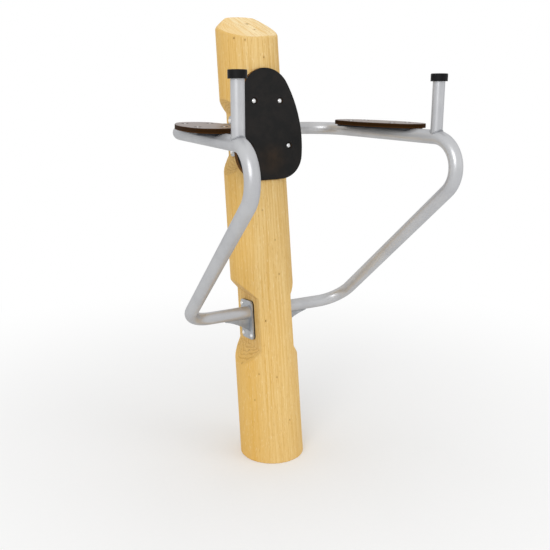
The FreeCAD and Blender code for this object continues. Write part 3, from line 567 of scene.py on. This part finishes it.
def makeBoardMaterial(name, look, base, normal, rest):
    # a film-faced board: film on its two faces, a warm patch round a given centre that stands for wear and
    # for a painted reflection of the glossy film, veneers on its edge
    material, g, shader, place = newMaterial(name)
    pattern = boardPattern
    depth = g.math("SUBTRACT", g.vector("DOT_PRODUCT", place, tuple(normal)), base.dot(normal))
    marks = g.place(mottle, {"Vector": place, "Grain": pattern["grain"]})
    layers = g.place(plyLayers, {"Depth": depth, "Veneer": look["veneer"], "Vector": place})
    facing = g.vector("DOT_PRODUCT", g.node("NewGeometry").outputs["Normal"], tuple(normal))
    face = g.remap(g.math("ABSOLUTE", facing), *pattern["faceRange"])
    middle = g.math("ABSOLUTE", g.math("SUBTRACT", g.math("DIVIDE", depth, look["thickness"]), 0.5))
    outer = g.math("MULTIPLY_ADD", g.remap(middle, *pattern["outerRange"]), *pattern["outerShare"])
    veneer = g.math("MULTIPLY", layers["Veneer"], outer)
    edge = g.blend(veneer, look["veneerDark"], look["veneerLight"])
    edge = g.blend(g.math("MULTIPLY", layers["Glue"], pattern["glueShare"]), edge, look["glue"])
    # dark rim under the front face: edge seal, and painted shade in the screw recesses
    rim = look["thickness"] - look["sealAndShadeRim"]
    sealAndShadeRim = g.remap(depth, rim - pattern["rimBlur"], rim + pattern["rimBlur"])
    edge = g.blend(sealAndShadeRim, edge, look["glue"])
    film = g.blend(g.remap(marks["Cloud"], *pattern["filmRange"]), look["film"], look["warmFilm"])
    # painted reflection and wear: a warm patch round the given centre of the film
    apart = g.vector("DISTANCE", place, tuple(rest))
    near = g.remap(apart, 0.0, look["wearAndSheenReach"], pattern["wearAndSheenShare"], 0.0)
    film = g.blend(g.math("MULTIPLY", near, marks["Cloud"]), film, look["wearAndSheen"])
    film = g.blend(g.math("MULTIPLY", marks["Rub"], pattern["rubShare"]), film, look["rubbed"])
    film = g.blend(g.remap(marks["Speckle"], *pattern["speckleRange"]), film, look["rubbed"])
    g.feed(shader.inputs["Base Color"], g.blend(face, edge, film))
    shader.inputs["Specular IOR Level"].default_value = look["specular"]
    g.feed(shader.inputs["Coat Weight"], g.math("MULTIPLY", face, look["filmCoat"]))
    shader.inputs["Coat Roughness"].default_value = look["roughness"]
    gloss = g.gloss(marks["Cloud"], pattern["glossSpan"], look["roughness"])
    gloss = g.math("MULTIPLY_ADD", g.math("SUBTRACT", 1.0, face), pattern["edgeGloss"], gloss)
    g.feed(shader.inputs["Roughness"], gloss)
    relief = g.math("ADD", g.math("MULTIPLY", marks["Speckle"], pattern["speckleHeight"]),
                    g.math("MULTIPLY", layers["Glue"], g.math("SUBTRACT", face, 1.0)))
    addBump(g, shader, relief, *pattern["bump"])
    return material


def dress(material, *names):
    for name in names:
        mesh = nodes[name].data
        mesh.materials.clear()
        mesh.materials.append(material)


seat = padNormal * layout["seatOffset"]
dress(makeBoardMaterial("backBoard", backBoard, seat, padNormal, backBoard["wearAndSheenCentre"]), "back_pad")
for sideName, side in sides.items():
    rise = armAxes(side)[2]
    base = armPoint(side, layout["armPadAlong"]) + rise * layout["tubeRadius"]
    dress(makeBoardMaterial(sideName + "ArmBoard", armBoard, base, rise, base), sideName + "_arm_pad")
print("boards ready")


# steel, rubber

frameSteel = {
    "base": rgb(194, 195, 197),
    "cloud": rgb(184, 185, 188),
    "bright": rgb(203, 204, 206),
    "metallic": 0.45,
    "roughness": 0.34,
    "specular": 0.3,
    "rimTint": (0.45, 0.45, 0.46, 1.0),
    "grain": 70.0,
    "bump": 0.005,
    "edge": 0.0,
}

plateSteel = {
    "base": rgb(176, 179, 182),
    "cloud": rgb(157, 161, 166),
    "bright": rgb(204, 206, 208),
    "metallic": 0.5,
    "roughness": 0.45,
    "specular": 0.5,
    "rimTint": white,
    "grain": 320.0,
    "bump": 0.12,
    "edge": 0.0008,
}

# near-black steel: painted shade for the arm pads' brackets and their welds, which lie in the pads' shadow
shadedBracketSteel = {
    "base": rgb(48, 50, 55),
    "cloud": rgb(40, 42, 47),
    "bright": rgb(74, 77, 83),
    "metallic": 0.2,
    "roughness": 0.5,
    "specular": 0.3,
    "rimTint": white,
    "grain": 320.0,
    "bump": 0.12,
    "edge": 0.0008,
}

weldZinc = {
    "base": rgb(168, 170, 173),
    "cloud": rgb(150, 152, 156),
    "bright": rgb(184, 186, 189),
    "metallic": 0.6,
    "roughness": 0.6,
    "specular": 0.3,
    "rimTint": white,
    "grain": 300.0,
    "bump": 0.05,
    "edge": 0.0,
}

domeSteel = {
    "base": rgb(236, 236, 236),
    "cloud": rgb(222, 223, 225),
    "bright": rgb(244, 244, 244),
    "metallic": 0.4,
    "roughness": 0.2,
    "specular": 0.5,
    "rimTint": white,
    "grain": 420.0,
    "bump": 0.03,
    "edge": 0.0,
}

capRubber = {
    "base": rgb(17, 17, 18),
    "cloud": rgb(25, 25, 26),
    "bright": rgb(40, 40, 40),
    "metallic": 0.0,
    "roughness": 0.45,
    "specular": 0.09,
    "rimTint": white,
    "grain": 300.0,
    "bump": 0.15,
    "edge": 0.0,
}

packingRubber = {
    "base": rgb(22, 22, 23),
    "cloud": rgb(30, 29, 29),
    "bright": rgb(46, 45, 44),
    "metallic": 0.0,
    "roughness": 0.7,
    "specular": 0.2,
    "rimTint": white,
    "grain": 300.0,
    "bump": 0.2,
    "edge": 0.0,
}


coatPattern = {
    "cloudRange": (0.36, 0.66),
    "speckleRange": (0.5, 0.75, 0.0, 0.3),
    "rubShare": 0.2,
    "edgeShare": 0.6,
    "bumpDepth": 0.0003,
    "glossSpan": 0.1,
    "rubGloss": 0.05,
}


def makeCoatMaterial(name, look):
    material, g, shader, place = newMaterial(name)
    pattern = coatPattern
    marks = g.place(mottle, {"Vector": place, "Grain": look["grain"]})
    colour = g.blend(g.remap(marks["Cloud"], *pattern["cloudRange"]), look["base"], look["cloud"])
    colour = g.blend(g.remap(marks["Speckle"], *pattern["speckleRange"]), colour, look["bright"])
    colour = g.blend(g.math("MULTIPLY", marks["Rub"], pattern["rubShare"]), colour, look["cloud"])
    relief = addBump(g, shader, marks["Speckle"], look["bump"], pattern["bumpDepth"])
    # edges lightened: wear and a painted highlight
    if look["edge"]:
        wearAndGlint = g.place(edgeWearAndGlint, {"Vector": place, "Width": look["edge"]})
        colour = g.blend(g.math("MULTIPLY", wearAndGlint["Edge"], pattern["edgeShare"]), colour, look["bright"])
        g.feed(relief.inputs["Normal"], wearAndGlint["Normal"])
    g.feed(shader.inputs["Base Color"], colour)
    shader.inputs["Metallic"].default_value = look["metallic"]
    shader.inputs["Specular Tint"].default_value = look["rimTint"]
    shader.inputs["Specular IOR Level"].default_value = look["specular"]
    gloss = g.gloss(marks["Cloud"], pattern["glossSpan"], look["roughness"])
    gloss = g.math("MULTIPLY_ADD", marks["Rub"], pattern["rubGloss"], gloss)
    g.feed(shader.inputs["Roughness"], gloss)
    return material


tubeMaterial = makeCoatMaterial("frameSteel", frameSteel)
plateMaterial = makeCoatMaterial("plateSteel", plateSteel)
shadedBracketMaterial = makeCoatMaterial("shadedBracketSteel", shadedBracketSteel)
weldMaterial = makeCoatMaterial("weldZinc", weldZinc)
domeMaterial = makeCoatMaterial("domeSteel", domeSteel)
capMaterial = makeCoatMaterial("capRubber", capRubber)
packingMaterial = makeCoatMaterial("packingRubber", packingRubber)

dress(plateMaterial, "back_pad_bar")
dress(domeMaterial, "back_pad_screws", "back_pad_bolts", "back_pad_nuts", "back_pad_bar_screws")
for sideName in sides:
    dress(tubeMaterial, sideName + "_frame_tube", sideName + "_handle_tube")
    dress(plateMaterial, sideName + "_upper_flange", sideName + "_lower_flange", sideName + "_lower_gusset")
    dress(shadedBracketMaterial, sideName + "_arm_pad_brackets")
    dress(domeMaterial, sideName + "_upper_flange_screws", sideName + "_lower_flange_screws",
          sideName + "_arm_pad_screws")
    dress(packingMaterial, sideName + "_upper_packing", sideName + "_lower_packing")
    dress(capMaterial, sideName + "_handle_cap")
print("steel and rubber ready")


# weld beads

weldBead = {
    "radius": 0.0023,
    "step": 0.0007,
    "ripplePitch": 0.0036,
    "rippleDepth": 0.12,
    "section": 10,
    "fewestSteps": 8,
    "ringPoints": 96,
    "endPower": 24,          # how suddenly an open bead ends
    "endShare": 0.05,
    "bracketSize": 0.8,
    "bracketDrop": 0.0012,
    "bracketOut": 0.0014,
    "gussetSize": 0.7,
    "gussetStart": 0.006,
}


def evenPath(points, closed):
    # the same line, divided into equal short steps
    line = list(points) + ([points[0]] if closed else [])
    lengths = [(after - before).length for before, after in zip(line, line[1:])]
    total = sum(lengths)
    count = max(weldBead["fewestSteps"], round(total / weldBead["step"]))
    path, index, passed = [], 0, 0.0
    for step in range(count if closed else count + 1):
        target = total * step / count
        while index < len(lengths) - 1 and passed + lengths[index] < target:
            passed += lengths[index]
            index += 1
        path.append(line[index].lerp(line[index + 1], (target - passed) / lengths[index]))
    return path, total / count


def makeBead(name, points, closed, size=1.0, material=weldMaterial):
    path, step = evenPath(points, closed)
    count, section = len(path), weldBead["section"]
    ripples = max(1, round(count * step / weldBead["ripplePitch"]))
    mesh = bmesh.new()
    rings = []
    side = None
    for index, point in enumerate(path):
        before = path[index - 1] if closed or index else point
        after = path[(index + 1) % count] if closed or index < count - 1 else point
        run = (after - before).normalized()
        side = run.orthogonal() if side is None else side - run * side.dot(run)
        side.normalize()
        lift = run.cross(side)
        swell = 1 + weldBead["rippleDepth"] * (abs(math.sin(math.pi * ripples * index / count)) - 0.5)
        if not closed:
            fromMiddle = abs(2 * index / (count - 1) - 1)
            swell *= math.sqrt(max(weldBead["endShare"], 1 - fromMiddle ** weldBead["endPower"]))
        reach = weldBead["radius"] * size * swell
        rings.append([mesh.verts.new(point + (side * math.cos(turn) + lift * math.sin(turn)) * reach)
                      for turn in (2 * math.pi * part / section for part in range(section))])
    spans = list(zip(rings, rings[1:])) + ([(rings[-1], rings[0])] if closed else [])
    for near, far in spans:
        shift = 0
        if near is rings[-1] and closed:
            shift = min(range(section), key=lambda turn: (far[turn].co - near[0].co).length)
        for part in range(section):
            follow = (part + 1) % section
            mesh.faces.new((near[part], near[follow],
                            far[(follow + shift) % section], far[(part + shift) % section]))
    if not closed:
        mesh.faces.new(rings[0])
        mesh.faces.new(rings[-1])
    bmesh.ops.recalc_face_normals(mesh, faces=mesh.faces)
    for face in mesh.faces:
        face.smooth = True
    data = bpy.data.meshes.new(name)
    mesh.to_mesh(data)
    mesh.free()
    data.materials.append(material)
    bead = bpy.data.objects.new(name, data)
    scene.collection.objects.link(bead)
    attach(bead, "root")


def circleTurns():
    count = weldBead["ringPoints"]
    return [2 * math.pi * index / count for index in range(count)]


def flangeRing(side, start, level):
    # where a tube that runs along X meets the flange's slightly turned face
    normal = cheekNormal(side)
    face = axisPoint(level) + normal * (layout["cheekOffset"] + layout["flangeFace"])
    along = Vector((side, 0, 0))
    ring = []
    for turn in circleTurns():
        rim = start + Vector((0, math.cos(turn), math.sin(turn))) * layout["tubeRadius"]
        ring.append(rim + along * ((face - rim).dot(normal) / along.dot(normal)))
    return ring


def gripRing(side):
    # where the upright grip sits on the arm like a saddle
    base = armPoint(side, layout["gripAlong"])
    forward = armAxes(side)[0]
    ring = []
    for turn in circleTurns():
        rim = Vector((math.cos(turn), math.sin(turn), 0)) * layout["gripRadius"]
        # height at which the grip's wall is one tube radius away from the arm's axis
        a = 1 - forward.z ** 2
        b = -rim.dot(forward) * forward.z
        c = rim.length_squared - rim.dot(forward) ** 2 - layout["tubeRadius"] ** 2
        ring.append(base + rim + Vector((0, 0, (-b + math.sqrt(b * b - a * c)) / a)))
    return ring


for sideName, side in sides.items():
    armStart = Vector((0, axisPoint(layout["armHeight"]).y, layout["armHeight"]))
    makeBead(sideName + "ArmFlangeWeld", flangeRing(side, armStart, layout["armHeight"]), True)
    braceStart = bracePoint(side, 0)
    makeBead(sideName + "BraceFlangeWeld", flangeRing(side, braceStart, layout["braceHeight"]), True)
    makeBead(sideName + "GripWeld", gripRing(side), True)
    forward, outward, rise = armAxes(side)
    drop = layout["tubeRadius"] - layout["bracketDepth"]
    width = math.sqrt(layout["tubeRadius"] ** 2 - drop ** 2)
    for edgeName, sign in (("Inner", -1), ("Outer", 1)):
        level = rise * (drop - weldBead["bracketDrop"])
        corner = level + outward * (sign * (width + weldBead["bracketOut"]))
        ends = [armPoint(side, layout["armPadAlong"] + reach) + corner
                for reach in (-layout["bracketHalf"], layout["bracketHalf"])]
        makeBead(sideName + edgeName + "BracketWeld", ends, False, weldBead["bracketSize"],
                 shadedBracketMaterial)
    plateFace = layout["cheekOffset"] + layout["flangeFace"]
    for edgeName, sign in (("Front", -1), ("Rear", 1)):
        shift = Vector((0, sign * layout["gussetHalf"], 0))
        under = Vector((0, 0, -layout["tubeRadius"]))
        ends = [bracePoint(side, plateFace + reach) + shift + under
                for reach in (weldBead["gussetStart"], layout["gussetLength"])]
        makeBead(sideName + edgeName + "GussetWeld", ends, False, weldBead["gussetSize"])
print("weld beads ready")


# camera at the photograph's place

cameraView = {
    "place": Vector((-1.16781, -2.07846, 1.24311)),
    "yaw": 29.59,
    "pitch": 13.96,
    "focal": 717.57,   # in pixels of a picture 550 wide
    "width": 550,
    "sensor": 36.0,
    "farthest": 100,
}


def makeCamera():
    data = bpy.data.cameras.new("camera")
    data.sensor_fit = "HORIZONTAL"
    data.sensor_width = cameraView["sensor"]
    data.lens = cameraView["focal"] * data.sensor_width / cameraView["width"]
    data.clip_end = cameraView["farthest"]
    camera = bpy.data.objects.new("camera", data)
    scene.collection.objects.link(camera)
    camera.location = cameraView["place"]
    camera.rotation_euler = (math.radians(90 - cameraView["pitch"]), 0, -math.radians(cameraView["yaw"]))
    scene.camera = camera


makeCamera()


# studio

studio = {
    "floor": (0.93, 0.93, 0.925, 1.0),
    "floorRadius": 14.0,
    "floorSegments": 96,
    "floorDrop": 0.0005,     # keeps the floor clear of the post's foot
    "floorGrain": ((90, 90, 90), 2.0),
    "floorShade": 0.97,
    "floorRoughness": 0.9,
    "floorSpecular": 0.1,
    "fadeStart": -0.6,
    "fadeEnd": 2.4,
    "ambient": 0.6,
    "lamps": {
        # place, aim, size, watts, whether metal mirrors it
        "key": ((-2.9, -2.7, 2.7), (0, 0, 0.8), 2.4, 66, True),
        "fill": ((2.4, -2.8, 1.8), (0, 0, 0.8), 2.4, 26, False),
        "top": ((0.2, 0.6, 4.2), (0, 0, 0.6), 2.4, 18, False),
    },
}


def makeLamp(name, place, aim, size, watts, mirrored):
    data = bpy.data.lights.new(name, "AREA")
    data.shape = "DISK"
    data.size = size
    data.energy = watts
    lamp = bpy.data.objects.new(name, data)
    scene.collection.objects.link(lamp)
    lamp.location = place
    lamp.rotation_euler = (Vector(aim) - Vector(place)).to_track_quat("-Z", "Y").to_euler()
    lamp.visible_glossy = mirrored


def seenDirectly(g):
    # one for the camera and for what metal mirrors, nought for the light that falls on the object
    rays = g.node("LightPath").outputs
    mirrored = g.math("MAXIMUM", rays["Is Glossy Ray"], rays["Is Transmission Ray"])
    return g.math("MAXIMUM", rays["Is Camera Ray"], mirrored)


def makeFloor():
    mesh = bmesh.new()
    bmesh.ops.create_circle(mesh, cap_ends=True, segments=studio["floorSegments"],
                            radius=studio["floorRadius"])
    data = bpy.data.meshes.new("studioFloor")
    mesh.to_mesh(data)
    mesh.free()
    floor = bpy.data.objects.new("studioFloor", data)
    scene.collection.objects.link(floor)
    floor.location.z = -studio["floorDrop"]
    material, g, shader, place = newMaterial("studioFloor")
    grain = g.noise(place, *studio["floorGrain"])
    soft = tuple(studio["floorShade"] * value for value in studio["floor"][:3]) + (1.0,)
    g.feed(shader.inputs["Base Color"], g.blend(grain, studio["floor"], soft))
    shader.inputs["Roughness"].default_value = studio["floorRoughness"]
    shader.inputs["Specular IOR Level"].default_value = studio["floorSpecular"]
    glow = g.node("Emission")
    away = g.vector("LENGTH", g.vector("MULTIPLY", place, (1, 1, 0)))
    fade = g.remap(away, studio["fadeStart"], studio["fadeEnd"])
    mix = g.node("MixShader")
    g.feed(mix.inputs[0], g.math("MULTIPLY", fade, seenDirectly(g)))
    g.feed(mix.inputs[1], shader.outputs[0])
    g.feed(mix.inputs[2], glow.outputs[0])
    g.feed(material.node_tree.nodes["Material Output"].inputs["Surface"], mix.outputs[0])
    data.materials.append(material)


def makeWorld():
    world = bpy.data.worlds.new("studioWorld")
    scene.world = world
    world.use_nodes = True
    world.cycles.sampling_method = "NONE"   # an even white needs no map, and thin tubes show fewer specks
    g = Graph(world.node_tree)
    back = world.node_tree.nodes["Background"]
    back.inputs["Color"].default_value = white
    g.feed(back.inputs["Strength"], g.remap(seenDirectly(g), 0.0, 1.0, studio["ambient"], 1.0))


for lampName, lampValues in studio["lamps"].items():
    makeLamp(lampName, *lampValues)
makeFloor()
makeWorld()
scene.view_settings.view_transform = "Standard"
print("camera and studio ready")
